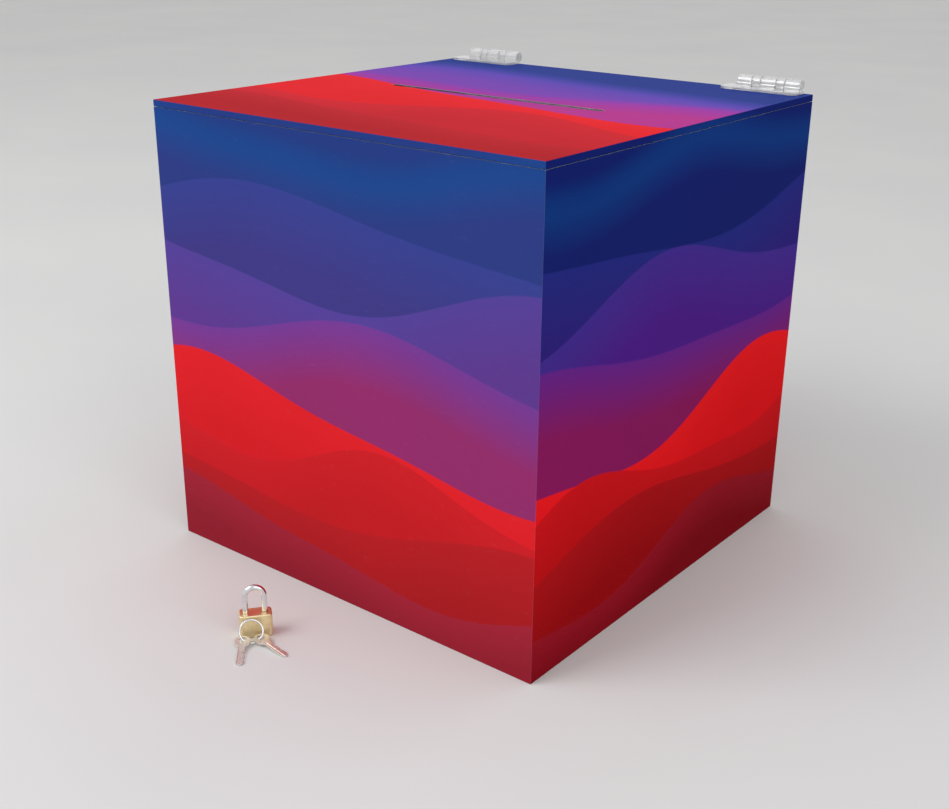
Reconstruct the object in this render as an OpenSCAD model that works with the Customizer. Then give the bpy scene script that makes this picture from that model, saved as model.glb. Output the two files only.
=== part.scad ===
// Cube suggestion box of clear acrylic panels dressed in printed film. Its lid swings on two
// clear knuckle hinges and is shut by a small padlock through a pair of lugs. The padlock
// stands in front of the box, with its two keys on a ring that leans against it.
// Millimetres. The origin is the middle of the base on the floor, +Z is up, the front faces -Y.

/* [Box] */
// Width of the box over its side panels
box_w = 300; // [220:5:400]
// Depth of the box over its front and back panels
box_d = 300; // [240:5:400]
// Height of the box from the floor to the top of the lid
box_h = 300; // [160:5:450]
// Thickness of the acrylic wall and base panels
panel_t = 4; // [3:0.5:6]
// Thickness of the acrylic lid
lid_t = 4; // [3:0.5:6]
// Gap between the shut lid and the top edges of the walls
lid_gap = 0.2; // [0.1:0.05:0.5]

/* [Printed film] */
// Thickness of the printed film
film_t = 0.2; // [0.1:0.05:0.4]
// Bare margin between a film and the upper or lower edge of its panel
film_margin = 0.1; // [0.1:0.1:2]

/* [Posting slot] */
// Length of the slot in the lid, over its round ends
slot_l = 170; // [100:5:200]
// Width of the slot
slot_w = 5.5; // [5:0.5:12]
// How far the film stands back from the slot
slot_film_margin = 0.5; // [0.2:0.1:1.5]

/* [Hinges] */
// Width of a hinge's row of knuckles
hinge_w = 46; // [35:1:58]
// How far a leaf runs past each end of that row
leaf_overhang = 5; // [5:0.5:10]
// Distance from the end of the rear edge to a leaf
hinge_inset = 5; // [2:1:30]
// Length of a leaf from the hinge axis to its free edge
leaf_l = 20; // [14:1:40]
// Thickness of a leaf
leaf_t = 2; // [1.5:0.25:3]
// Corner radius of a leaf
leaf_corner_r = 4; // [1:0.5:5]
// Outer radius of a knuckle
knuckle_r = 4; // [3.5:0.25:6]
// Number of knuckles in a hinge, an odd number
knuckle_count = 5; // [3:2:7]
// Length of a knuckle of the back leaf
back_knuckle_l = 6; // [4:0.5:8]
// Gap between neighbouring knuckles
knuckle_gap = 0.3; // [0.2:0.1:0.6]
// Clearance of a leaf's edge round the other leaf's knuckles
knuckle_clear = 0.4; // [0.3:0.1:1]
// Radius of the fillet between a leaf and its knuckles
knuckle_fillet_r = 2; // [1:0.25:3]
// Radius of the hinge pin
pin_r = 1.5; // [1:0.1:2]
// Running clearance round the pin
pin_clear = 0.05; // [0.03:0.01:0.1]
// How far the pin's ends lie inside the outer knuckles
pin_recess = 0.6; // [0:0.1:2]

/* [Hasp] */
// Distance from the front edge to the middle of the hasp
hasp_setback = 50; // [30:5:110]
// Width of a lug
lug_w = 24; // [18:1:40]
// Thickness of a lug
lug_t = 4; // [3:0.5:5]
// How far a lug stands out of the wall
lug_reach = 18; // [16:1:24]
// Corner radius at the end of a lug
lug_corner_r = 8; // [2:0.5:9]
// Distance from the wall to the middle of the padlock hole
lug_hole_reach = 9.5; // [7:0.5:11]
// Radius of the padlock hole
lug_hole_r = 3; // [2.5:0.25:4]
// Length of the upper lug that is bonded under the lid
lug_tail = 26; // [12:1:50]
// Height of the lower lug's flange on the wall
lug_flange_h = 24; // [10:1:40]
// Thickness of that flange
lug_flange_t = 3; // [2:0.5:5]
// Clearance round the upper lug
lug_clear = 0.8; // [0.6:0.1:2]

/* [Padlock] */
// Place of the padlock to the right of the box's middle
lock_x = -12; // [-120:1:120]
// Place of the padlock in front of the front panel
lock_front_gap = 62; // [45:0.5:120]
// Turn of the padlock about the vertical
lock_yaw = 52; // [0:1:90]
// Width of the padlock's body
lock_w = 20; // [19:0.5:30]
// Depth of the padlock's body
lock_d = 10.5; // [9:0.5:16]
// Height of the padlock's body
lock_h = 15; // [14:0.5:28]
// Radius of the body's upright edges
lock_corner_r = 2.6; // [1:0.2:4]
// Radius of the body's upper and lower corners
lock_edge_r = 1.4; // [0.6:0.2:2]
// Radius of the shackle's bar
shackle_r = 1.75; // [1.25:0.05:2]
// Distance between the shackle's legs
shackle_pitch = 11.5; // [11.5:0.25:13.5]
// Height of the shut shackle above the body
shackle_rise = 18.5; // [12:0.5:30]
// Depth of the long leg in the body
long_leg = 9.5; // [8:0.5:11]
// Depth of the short leg in the body
short_leg = 5; // [4:0.5:7]
// Height of the locking notch in a leg
leg_notch_h = 2.4; // [1.5:0.1:3]
// Depth of the locking notch in a leg
leg_notch_depth = 1; // [0.6:0.1:1.2]
// Distance from the end of the short leg to its notch
leg_notch_start = 1.4; // [1:0.1:1.5]
// Sliding clearance round the legs
leg_clear = 0.08; // [0.03:0.01:0.1]
// Free depth below a leg's end
leg_end_gap = 0.5; // [0.3:0.1:1]
// Radius of the lock's plug
plug_r = 3.2; // [2.6:0.1:3.4]
// Length of the plug
plug_l = 11; // [8:0.5:12]
// Running clearance round the plug
plug_clear = 0.05; // [0.03:0.01:0.1]
// Depth of the plug's face inside the body
plug_recess = 0.4; // [0.2:0.1:1]
// Play of the key in the keyway, all round
keyway_play = 0.2; // [0.1:0.05:0.3]
// Depth of the keyway
keyway_depth = 9; // [6:0.5:10]

/* [Keys] */
// Mean radius of the key ring
ring_r = 7; // [6.6:0.1:9]
// Radius of the ring's wire
wire_r = 0.65; // [0.4:0.05:0.7]
// Lean of the ring from the vertical
ring_lean = 25; // [15:1:35]
// Place of the ring to the right of the padlock's middle
ring_x = -3.5; // [-6:0.5:6]
// Gap between the ring and the padlock's face
ring_gap = 0.3; // [0.2:0.1:1]
// Thickness of a key
key_t = 1.2; // [0.8:0.1:1.3]
// Radius of a key's bow
bow_r = 4.9; // [4.5:0.1:5.2]
// Gap between the two bows
bow_gap = 0.8; // [0.6:0.1:1.2]
// Radius of the hole in a bow
key_hole_r = 2.3; // [2.2:0.05:2.6]
// Distance from the middle of the hole to the middle of the bow
bow_shift = 1.4; // [1:0.1:1.6]
// Length of a key from the middle of its hole to its tip
key_l = 24; // [20:0.5:32]
// Width of a key's blade
blade_w = 4.2; // [3.4:0.1:4.4]
// Length of the pointed tip
key_tip_l = 2; // [1:0.25:3]
// Spacing of the cuts along the blade
cut_pitch = 2.6; // [2:0.1:2.8]
// Distance from the edge of the bow to the first cut
cut_start = 3; // [2.5:0.25:4]
// Depth of the groove along the blade
groove_depth = 0.35; // [0.1:0.05:0.5]
// Width of that groove
groove_w = 1; // [0.5:0.1:1.4]
// Turn of each key away from the line between them
key_fan = 22; // [16:1:30]
// Turn of that line to the padlock's right
key_turn = 12; // [-15:1:15]

/* [Hidden] */

$fn = 64;

// Overshoot of a cutting shape past the face that it opens
cut = 1;

// Depths of the cuts along a key's blade, from bow to tip
cut_depths = [1.1, 1.7, 0.8, 1.4];
// Half the width of a cut at the blade's edge, for each millimetre of its depth
cut_flare = 0.7;
// Half the flat width at the bottom of a cut
cut_flat = 0.3;

// Colours of the finished pieces
acrylic = [0.86, 0.93, 0.96, 0.45];
print_blue = [0.17, 0.24, 0.55];
print_violet = [0.32, 0.20, 0.56];
print_red = [0.84, 0.12, 0.16];
brass = [0.80, 0.66, 0.34];
steel = [0.80, 0.81, 0.83];
nickel = [0.78, 0.76, 0.70];

// Halves of the box's plan
half_w = box_w / 2;
half_d = box_d / 2;
// Underside of the shut lid and top of the walls
lid_z = box_h - lid_t;
wall_h = lid_z - lid_gap;

// Width of a hinge's leaves along the rear edge
leaf_w = hinge_w + 2 * leaf_overhang;
// Hinge axis: the knuckles touch the planes of the lid's film and the back wall's film
hinge_y = half_d + film_t + knuckle_r;
hinge_z = box_h + film_t + knuckle_r;
hinge_x = half_w - hinge_inset - leaf_w / 2;
// Knuckles of the two leaves: the lid leaf has the outer ones
lid_knuckles = (knuckle_count + 1) / 2;
back_knuckles = (knuckle_count - 1) / 2;
knuckle_room = hinge_w - (knuckle_count - 1) * knuckle_gap;
lid_knuckle_l = (knuckle_room - back_knuckles * back_knuckle_l) / lid_knuckles;
// Distance from one knuckle of a leaf to its next
knuckle_step = lid_knuckle_l + back_knuckle_l + 2 * knuckle_gap;
// Upper face of a leaf and middle of its fillet, measured from the hinge axis
leaf_top = leaf_t - knuckle_r;
fillet_z = leaf_top + knuckle_fillet_r;
fillet_y = -sqrt(pow(knuckle_r + knuckle_fillet_r, 2) - pow(fillet_z, 2));
// Edge of a leaf where it stands back from the other leaf's knuckles
leaf_root = knuckle_r + knuckle_clear;

// Middle of the hasp along the left wall
hasp_y = hasp_setback - half_d;
// Lower faces of the two lugs and of the flange
lid_lug_z = lid_z - lug_t;
box_lug_z = lid_lug_z - lug_clear - lug_t;
lug_flange_z = box_lug_z + lug_t - lug_flange_h;

// Padlock
lock_y = -half_d - lock_front_gap;
shackle_bend_z = lock_h + shackle_rise - shackle_r - shackle_pitch / 2;

// Ring: it stands on the floor and leans on the padlock's front face
ring_z = wire_r + ring_r * cos(ring_lean);
ring_y = -lock_d / 2 - ring_gap - wire_r - ring_r * sin(ring_lean);
// Where the ring passes through the keys, measured from its middle
cross_x = bow_r + bow_gap / 2;
cross_drop = sqrt(pow(ring_r, 2) - pow(cross_x, 2));
cross_y = ring_y - cross_drop * sin(ring_lean);
cross_z = ring_z - cross_drop * cos(ring_lean);
// Slope of a key from the ring down to its tip on the floor
key_tilt = asin((cross_z - key_t / 2) / key_l);
bow_edge = bow_shift + bow_r;

// Rectangle with round corners about the origin
module rounded_rect(w, h, r) {
    square([w - 2 * r, h], center = true);
    square([w, h - 2 * r], center = true);
    for (x = [-1, 1], y = [-1, 1]) {
        translate([x * (w / 2 - r), y * (h / 2 - r)]) circle(r = r);
    }
}

// Slot with round ends along X about the origin
module slot_outline(l, w) {
    square([l - w, w], center = true);
    for (x = [-1, 1]) {
        translate([x * (l - w) / 2, 0]) circle(r = w / 2);
    }
}

// Wall panel across the full width, from its front face
module wide_wall(y) {
    translate([-half_w, y, 0]) cube([box_w, panel_t, wall_h]);
}

// Wall panel between the front and the back panels, from its left face
module side_wall(x) {
    translate([x, panel_t - half_d, 0]) cube([panel_t, box_d - 2 * panel_t, wall_h]);
}

// Film on a wall, flat on its back, with its lower edge along X
module wall_film(span) {
    translate([-span / 2, 0, film_margin]) cube([span, film_t, wall_h - 2 * film_margin]);
}

// Film on a wide wall, which covers the cut edges of the films on the side walls
module wide_film(y) {
    translate([0, y, 0]) wall_film(box_w + 2 * film_t);
}

// Puts a film made by wall_film on a side wall
module on_side(x) {
    translate([x, 0, 0]) rotate([0, 0, 90]) children();
}

module front_panel() {
    color(acrylic) wide_wall(-half_d);
}

module back_panel() {
    color(acrylic) wide_wall(half_d - panel_t);
}

// The left wall has a notch in its top edge that the lid's lug passes through
module left_panel() {
    notch_w = lug_w + 2 * lug_clear;
    notch_z = lid_lug_z - lug_clear;
    color(acrylic) difference() {
        side_wall(-half_w);
        translate([-half_w - cut, hasp_y - notch_w / 2, notch_z]) {
            cube([panel_t + 2 * cut, notch_w, wall_h - notch_z + cut]);
        }
    }
}

module right_panel() {
    color(acrylic) side_wall(half_w - panel_t);
}

module base_panel() {
    color(acrylic) translate([panel_t - half_w, panel_t - half_d, 0]) {
        cube([box_w - 2 * panel_t, box_d - 2 * panel_t, panel_t]);
    }
}

module front_print() {
    color(print_violet) wide_film(-half_d - film_t);
}

module back_print() {
    color(print_violet) wide_film(half_d);
}

// The film stands back from the hasp, so that the lug is bonded to the acrylic itself
module left_print() {
    bare_w = lug_w + 2 * lug_clear + 2 * film_margin;
    bare_z = lug_flange_z - film_margin;
    color(print_violet) difference() {
        on_side(-half_w) wall_film(box_d);
        translate([-half_w - film_t - cut, hasp_y - bare_w / 2, bare_z]) {
            cube([film_t + 2 * cut, bare_w, wall_h - bare_z + cut]);
        }
    }
}

module right_print() {
    color(print_blue) on_side(half_w + film_t) wall_film(box_d);
}

// Lug in plan: it reaches out to round corners, and its tail reaches in past the wall's face
module lug_outline(tail) {
    translate([-lug_reach / 2, 0]) rounded_rect(lug_reach, lug_w, lug_corner_r);
    translate([-lug_reach / 2, -lug_w / 2]) square([lug_reach / 2 + tail, lug_w]);
}

// Flat lug on the left wall, with its padlock hole
module lug(z, tail) {
    translate([-half_w, hasp_y, z]) difference() {
        linear_extrude(lug_t) lug_outline(tail);
        translate([-lug_hole_reach, 0, -cut]) cylinder(r = lug_hole_r, h = lug_t + 2 * cut);
    }
}

// Lower lug, with a flange that is bonded to the wall
module box_hasp_lug() {
    color(acrylic) {
        lug(box_lug_z, 0);
        translate([-half_w - lug_flange_t, hasp_y - lug_w / 2, lug_flange_z]) {
            cube([lug_flange_t, lug_w, lug_flange_h]);
        }
    }
}

// Upper lug, bonded under the lid by its tail
module lid_hasp_lug() {
    color(acrylic) lug(lid_lug_z, lug_tail);
}

module lid_panel() {
    color(acrylic) translate([0, 0, lid_z]) linear_extrude(lid_t) difference() {
        square([box_w, box_d], center = true);
        slot_outline(slot_l, slot_w);
    }
}

// The lid's film is folded down over the front and side edges of the lid
module lid_print() {
    skirt_z = lid_z + film_margin;
    color(print_red) difference() {
        translate([-half_w - film_t, -half_d - film_t, skirt_z]) {
            cube([box_w + 2 * film_t, box_d + film_t - film_margin, box_h + film_t - skirt_z]);
        }
        translate([-half_w, -half_d, skirt_z - cut]) {
            cube([box_w, box_d + cut, box_h - skirt_z + cut]);
        }
        translate([0, 0, box_h - cut]) linear_extrude(film_t + 2 * cut) {
            slot_outline(slot_l + 2 * slot_film_margin, slot_w + 2 * slot_film_margin);
        }
    }
}

// Section of a knuckle with the arm and fillet that join it to a leaf lying towards -Y
module knuckle_section() {
    circle(r = knuckle_r);
    translate([-leaf_root - knuckle_fillet_r, -knuckle_r]) {
        square([leaf_root + knuckle_fillet_r, leaf_t]);
    }
    difference() {
        polygon([[fillet_y, fillet_z], [fillet_y, leaf_top], [0, leaf_top], [0, 0]]);
        translate([fillet_y, fillet_z]) circle(r = knuckle_fillet_r);
    }
}

// Leaf lying towards -Y from the hinge axis, with a number of knuckles from the given start
module hinge_leaf(count, start, length) {
    plate_l = leaf_l - leaf_root;
    difference() {
        union() {
            translate([0, -leaf_root - plate_l / 2, -knuckle_r]) {
                linear_extrude(leaf_t) rounded_rect(leaf_w, plate_l, leaf_corner_r);
            }
            for (i = [0 : count - 1]) {
                translate([start + i * knuckle_step, 0, 0]) rotate([90, 0, 90]) {
                    linear_extrude(length) knuckle_section();
                }
            }
        }
        rotate([0, 90, 0]) cylinder(r = pin_r + pin_clear, h = hinge_w + 2 * cut, center = true);
    }
}

// Puts a hinge piece on the rear edge, on the left for -1 and on the right for 1
module on_rear_edge(side) {
    color(acrylic) translate([side * hinge_x, hinge_y, hinge_z]) children();
}

module lid_leaf(side) {
    on_rear_edge(side) hinge_leaf(lid_knuckles, -hinge_w / 2, lid_knuckle_l);
}

// The back leaf is a leaf turned over so that it lies down the back wall
module back_leaf(side) {
    start = lid_knuckle_l + knuckle_gap - hinge_w / 2;
    on_rear_edge(side) mirror([0, 1, -1]) hinge_leaf(back_knuckles, start, back_knuckle_l);
}

module hinge_pin(side) {
    on_rear_edge(side) rotate([0, 90, 0]) {
        cylinder(r = pin_r, h = hinge_w - 2 * pin_recess, center = true);
    }
}

module hinge_lid_leaf_left() {
    lid_leaf(-1);
}

module hinge_lid_leaf_right() {
    lid_leaf(1);
}

module hinge_back_leaf_left() {
    back_leaf(-1);
}

module hinge_back_leaf_right() {
    back_leaf(1);
}

module hinge_pin_left() {
    hinge_pin(-1);
}

module hinge_pin_right() {
    hinge_pin(1);
}

// Places what stands with the padlock, whose front faces -Y before it is turned
module at_lock() {
    translate([lock_x, lock_y, 0]) rotate([0, 0, lock_yaw]) children();
}

// Bore for a shackle leg, on the left for -1 and on the right for 1
module leg_bore(side, depth) {
    bore_h = depth + leg_end_gap;
    translate([side * shackle_pitch / 2, 0, lock_h - bore_h]) {
        cylinder(r = shackle_r + leg_clear, h = bore_h + cut);
    }
}

module padlock_body() {
    color(brass) at_lock() difference() {
        intersection() {
            linear_extrude(lock_h) rounded_rect(lock_w, lock_d, lock_corner_r);
            translate([0, lock_d / 2, lock_h / 2]) rotate([90, 0, 0]) {
                linear_extrude(lock_d) rounded_rect(lock_w, lock_h, lock_edge_r);
            }
        }
        leg_bore(-1, long_leg);
        leg_bore(1, short_leg);
        translate([0, 0, -cut]) {
            cylinder(r = plug_r + plug_clear, h = cut + plug_recess + plug_l + plug_clear);
        }
    }
}

// Leg of the shackle from its end in the body up to the bend, with its notch on the inside
module shackle_leg(side, depth) {
    notch_z = short_leg - leg_notch_start;
    translate([side * shackle_pitch / 2, 0, lock_h]) difference() {
        translate([0, 0, -depth]) cylinder(r = shackle_r, h = shackle_bend_z - lock_h + depth);
        translate([-side * shackle_r, 0, leg_notch_h / 2 - notch_z]) {
            cube([2 * leg_notch_depth, 2 * shackle_r + cut, leg_notch_h], center = true);
        }
    }
}

module padlock_shackle() {
    color(steel) at_lock() {
        shackle_leg(-1, long_leg);
        shackle_leg(1, short_leg);
        translate([0, 0, shackle_bend_z]) rotate([90, 0, 0]) rotate_extrude(angle = 180) {
            translate([shackle_pitch / 2, 0]) circle(r = shackle_r);
        }
    }
}

module lock_plug() {
    way_w = key_t + 2 * keyway_play;
    way_l = blade_w + 2 * keyway_play;
    color(brass) at_lock() translate([0, 0, plug_recess]) difference() {
        cylinder(r = plug_r, h = plug_l);
        translate([-way_w / 2, -way_l / 2, -cut]) cube([way_w, way_l, keyway_depth + cut]);
    }
}

module key_ring() {
    color(steel) at_lock() translate([ring_x, ring_y, ring_z]) rotate([90 - ring_lean, 0, 0]) {
        rotate_extrude() translate([ring_r, 0]) circle(r = wire_r);
    }
}

// Outline of a key along +X, with its hole at the origin
module key_outline() {
    blade_start = bow_edge - blade_w / 2;
    difference() {
        union() {
            translate([bow_shift, 0]) circle(r = bow_r);
            polygon([
                [blade_start, -blade_w / 2],
                [key_l - key_tip_l, -blade_w / 2],
                [key_l, 0],
                [key_l - key_tip_l, blade_w / 2],
                [blade_start, blade_w / 2],
            ]);
        }
        circle(r = key_hole_r);
        for (i = [0 : len(cut_depths) - 1]) {
            depth = cut_depths[i];
            mouth = cut_flat + (depth + cut) * cut_flare;
            translate([bow_edge + cut_start + i * cut_pitch, blade_w / 2]) polygon([
                [-cut_flat, -depth],
                [cut_flat, -depth],
                [mouth, cut],
                [-mouth, cut],
            ]);
        }
    }
}

// Key threaded on the ring, on its left for -1 and on its right for 1
module key(side) {
    color(nickel) at_lock() translate([ring_x + side * cross_x, cross_y, cross_z]) {
        rotate([0, key_tilt, key_turn + side * key_fan - 90]) difference() {
            translate([0, 0, -key_t / 2]) linear_extrude(key_t) key_outline();
            translate([bow_edge, -blade_w / 2 + groove_w / 2, key_t / 2 - groove_depth]) {
                cube([key_l, groove_w, groove_depth + cut]);
            }
        }
    }
}

module key_left() {
    key(-1);
}

module key_right() {
    key(1);
}

front_panel();
back_panel();
left_panel();
right_panel();
base_panel();
front_print();
back_print();
left_print();
right_print();
box_hasp_lug();
hinge_back_leaf_left();
hinge_back_leaf_right();
hinge_pin_left();
hinge_pin_right();
lid_panel();
lid_print();
lid_hasp_lug();
hinge_lid_leaf_left();
hinge_lid_leaf_right();
padlock_body();
padlock_shackle();
lock_plug();
key_ring();
key_left();
key_right();
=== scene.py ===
"""Printed suggestion box of clear acrylic, with the padlock and keys that stand in front of it."""
import logging
import math
from collections.abc import Callable, Sequence
from dataclasses import dataclass, replace
from enum import Enum

import bmesh
import bpy
from bmesh.types import BMEdge, BMesh
from bpy.types import Material, MeshPolygon, Modifier, Node, NodeSocket, NodeTree
from mathutils import Matrix, Vector


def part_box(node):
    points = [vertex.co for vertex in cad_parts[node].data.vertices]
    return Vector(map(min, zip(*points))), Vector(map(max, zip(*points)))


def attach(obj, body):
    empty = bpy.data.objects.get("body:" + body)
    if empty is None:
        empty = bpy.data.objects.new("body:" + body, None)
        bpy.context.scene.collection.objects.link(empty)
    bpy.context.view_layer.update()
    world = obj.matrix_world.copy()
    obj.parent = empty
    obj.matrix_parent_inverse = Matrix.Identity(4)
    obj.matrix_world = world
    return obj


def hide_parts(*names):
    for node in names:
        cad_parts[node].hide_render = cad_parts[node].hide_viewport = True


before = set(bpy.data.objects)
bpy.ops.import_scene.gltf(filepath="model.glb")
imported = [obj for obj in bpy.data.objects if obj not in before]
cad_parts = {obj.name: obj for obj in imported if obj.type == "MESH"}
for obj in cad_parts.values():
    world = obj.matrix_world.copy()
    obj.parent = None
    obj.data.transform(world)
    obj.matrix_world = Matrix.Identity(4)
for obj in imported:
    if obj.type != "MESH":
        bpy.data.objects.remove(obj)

LOG = logging.getLogger("suggestion_box")
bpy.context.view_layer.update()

MM = 0.001
HAIR = 0.03 * MM  # Air left between faces that are bonded to each other or lie on each other
OVER = 1 * MM  # How far a cutter passes the surface that it cuts
FACING = 0.9  # Cosine past which a face counts as facing a direction
LOCK_YAW = 52.0  # Turn of the padlock about the vertical, in degrees

Colour = tuple[float, float, float, float]
Rgb = tuple[int, int, int]
Flat = tuple[float, float]
Point = tuple[float, float, float]
Feed = float | Sequence[float] | Node | NodeSocket
Settings = dict[str, object]
Chooser = Callable[[MeshPolygon], int]


def ink(tint: Rgb) -> Colour:
    """Turns a printed colour into the scene's linear one.

    Args:
        tint: Its red, green and blue, from 0 to 255.

    Returns:
        The linear colour, with an alpha of 1.
    """
    shares = [step / 255 for step in tint]
    red, green, blue = (s / 12.92 if s <= 0.04045 else ((s + 0.055) / 1.055) ** 2.4 for s in shares)
    return red, green, blue, 1.0


class Operation(Enum):
    """Operations of the Math node."""

    LARGER = "MAXIMUM"
    MINUS = "SUBTRACT"
    SINE = "SINE"
    TIMES = "MULTIPLY"
    TIMES_PLUS = "MULTIPLY_ADD"


class Blend(Enum):
    """Ways to mix a colour into another."""

    COVER = "MIX"
    MULTIPLY = "MULTIPLY"


class Boolean(Enum):
    """Ways to combine closed meshes."""

    JOIN = "UNION"
    CUT = "DIFFERENCE"


class Choice(Enum):
    """Base of the choices that piece names hold."""

    @property
    def word(self) -> str:
        """Word for the option in a name."""
        return self.name.lower()


class Side(Choice):
    """The left and the right, with their sign along X."""

    LEFT = -1
    RIGHT = 1


class Leaf(Choice):
    """The two leaves of a hinge, with the body that each rides on."""

    LID = "lid"
    BACK = "box"


class Face(Choice):
    """Faces of the box, each with its directions to the right and up as seen from outside."""

    FRONT = ((1, 0, 0), (0, 0, 1))
    BACK = ((-1, 0, 0), (0, 0, 1))
    LEFT = ((0, -1, 0), (0, 0, 1))
    RIGHT = ((0, 1, 0), (0, 0, 1))
    LID = ((1, 0, 0), (0, 1, 0))

    @property
    def across(self) -> Vector:
        """Direction to the right."""
        return Vector(self.value[0])

    @property
    def up(self) -> Vector:
        """Direction up the face."""
        return Vector(self.value[1])

    @property
    def outward(self) -> Vector:
        """Direction out of the box."""
        return self.across.cross(self.up)

    @property
    def laps(self) -> bool:
        """Whether the wall covers its neighbours' ends."""
        return self in (Face.FRONT, Face.BACK)

    def matrix(self, reach: float) -> Matrix:
        """Matrix from a face's own frame to the box's, for a face at this distance from the origin."""
        turn = Matrix((self.across, self.up, self.outward)).transposed().to_4x4()
        return Matrix.Translation(self.outward * reach) @ turn


WALLS = (Face.FRONT, Face.BACK, Face.LEFT, Face.RIGHT)


class Graph:
    """A node tree under construction."""

    def __init__(self, tree: NodeTree) -> None:
        """Takes over a tree and empties it."""
        self.tree = tree
        tree.nodes.clear()

    def node(self, kind: str, *values: object, settings: Settings | None = None, **feeds: object) -> Node:
        """Adds a node and feeds its live inputs. A node that is fed stands for its first live output.

        Args:
            kind: The node's type name.
            *values: Values, outputs or nodes for its first inputs.
            settings: Properties to set on it.
            **feeds: The same for its other inputs, by name in lower case with underscores.

        Returns:
            The new node.
        """
        made = self.tree.nodes.new(kind)
        for key, value in (settings or {}).items():
            setattr(made, key, value)
        live = [socket for socket in made.inputs if socket.enabled]
        named = {socket.name.lower().replace(" ", "_"): socket for socket in reversed(live)}
        for socket, value in [*zip(live, values), *((named[key], value) for key, value in feeds.items())]:
            if isinstance(value, Node):
                value = next(output for output in value.outputs if output.enabled)
            if isinstance(value, NodeSocket):
                self.tree.links.new(value, socket)
            else:
                socket.default_value = value
        return made

    def math(self, operation: Operation, *values: Feed) -> Node:
        """Combines values by an operation."""
        return self.node("ShaderNodeMath", *values, settings={"operation": operation.value})


class Shader(Graph):
    """A surface material under construction."""

    def __init__(self, name: str) -> None:
        """Starts a material.

        Args:
            name: The material's name.
        """
        self.material = bpy.data.materials.new(name)
        self.material.use_nodes = True
        super().__init__(self.material.node_tree)
        self.place = self.node("ShaderNodeTexCoord").outputs["Object"]

    def surface(self, **feeds: Feed) -> Material:
        """Ends the material in a Principled shader with these inputs, and returns it."""
        self.node("ShaderNodeOutputMaterial", self.node("ShaderNodeBsdfPrincipled", **feeds))
        return self.material

    def mix(self, share: Feed, first: Feed, second: Feed, blend: Blend = Blend.COVER) -> Node:
        """Mixes a share of the second colour into the first."""
        settings = {"data_type": "RGBA", "blend_type": blend.value}
        return self.node("ShaderNodeMix", share, first, second, settings=settings)

    def span(self, value: Feed, low: float, high: float, to_low: float = 0.0, to_high: float = 1.0) -> Node:
        """Maps the range from low to high on another range, held at its ends."""
        return self.node("ShaderNodeMapRange", value, low, high, to_low, to_high, settings={"clamp": True})

    def along(self, direction: Vector) -> Node:
        """Measures the place on the piece along a direction."""
        settings = {"operation": "DOT_PRODUCT"}
        return self.node("ShaderNodeVectorMath", self.place, direction, settings=settings)

    def noise(self, scale: float, detail: float, stretch: Point = (1, 1, 1), turn: float = 0.0) -> Node:
        """Adds a noise pattern fixed to the piece.

        Args:
            scale: Number of blotches in a metre.
            detail: Number of finer layers.
            stretch: Factor on the pattern's frequency along each axis.
            turn: Turn of the pattern about the vertical, in radians.

        Returns:
            The noise, about 0.5 on average.
        """
        place = self.node(
            "ShaderNodeMapping",
            self.place,
            settings={"vector_type": "TEXTURE"},
            rotation=(0, 0, turn),
            scale=[1 / s for s in stretch],
        )
        return self.node("ShaderNodeTexNoise", place, scale=scale, detail=detail)

    def bump(self, height: Feed, distance: float, strength: float) -> Node:
        """Turns a height pattern of 0 to 1 into the normals of a rough surface."""
        return self.node("ShaderNodeBump", strength, distance, height=height)


@dataclass(frozen=True)
class Finish:
    """Base of the finishes: a material that is made once and then handed out."""

    name: str  # Name of the material

    def material(self) -> Material:
        """Returns the finish's material, and makes it at the first call."""
        return bpy.data.materials.get(self.name) or self.make()

    def make(self) -> Material:
        """Makes the material; each finish has its own way."""
        raise NotImplementedError


@dataclass(frozen=True)
class ClearAcrylic(Finish):
    """Clear acrylic with faint haze and wiping marks."""

    tint: Colour  # Colour of the light that passes
    deep_tint: Colour  # Colour in its slightly denser streaks
    haze: float  # Typical roughness
    clear: float  # Share of the light that passes; the rest is scattered
    gloss: float = 0.0  # Weight of a polished skin on it

    def make(self) -> Material:
        """Makes the refracting material.

        Returns:
            The material.
        """
        shader = Shader(self.name)
        streaks = shader.noise(14, 2, (1, 1, 0.4))
        wiping = shader.noise(90, 5, (1, 6, 22))
        return shader.surface(
            base_color=shader.mix(shader.span(streaks, 0.35, 0.7), self.tint, self.deep_tint),
            roughness=shader.span(wiping, 0.45, 0.75, self.haze * 0.5, self.haze * 2.5),
            transmission_weight=self.clear,
            ior=1.49,
            coat_weight=self.gloss,
            coat_roughness=0.06,
            normal=shader.bump(shader.noise(420, 2), 0.004 * MM, 0.3),
        )


@dataclass(frozen=True)
class Swell:
    """Run of a printed wave's crest line, with lengths as shares of the face."""

    height: float  # Mean height of the line
    swing: float  # How far the line rises and falls
    cycles: float  # Number of swells across the face
    phase: float  # Where the swells start, in cycles
    depth: float  # Distance below the line over which the crest's colour turns into the body's
    softness: float = 0.0015  # Half the width over which the line is blurred


@dataclass(frozen=True)
class Design:
    """A printed design of waves that lie over each other."""

    ground: Rgb  # Colour above all waves
    inks: tuple[tuple[Rgb, Rgb], ...]  # Colours of each wave, along its crest line and further down
    swells: tuple[Swell, ...]  # Crest lines of the waves, from the highest to the lowest
    ripple: Flat = (1.9, 0.3)  # Frequency and height of the ripple on each line, as shares of its swells


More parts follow.
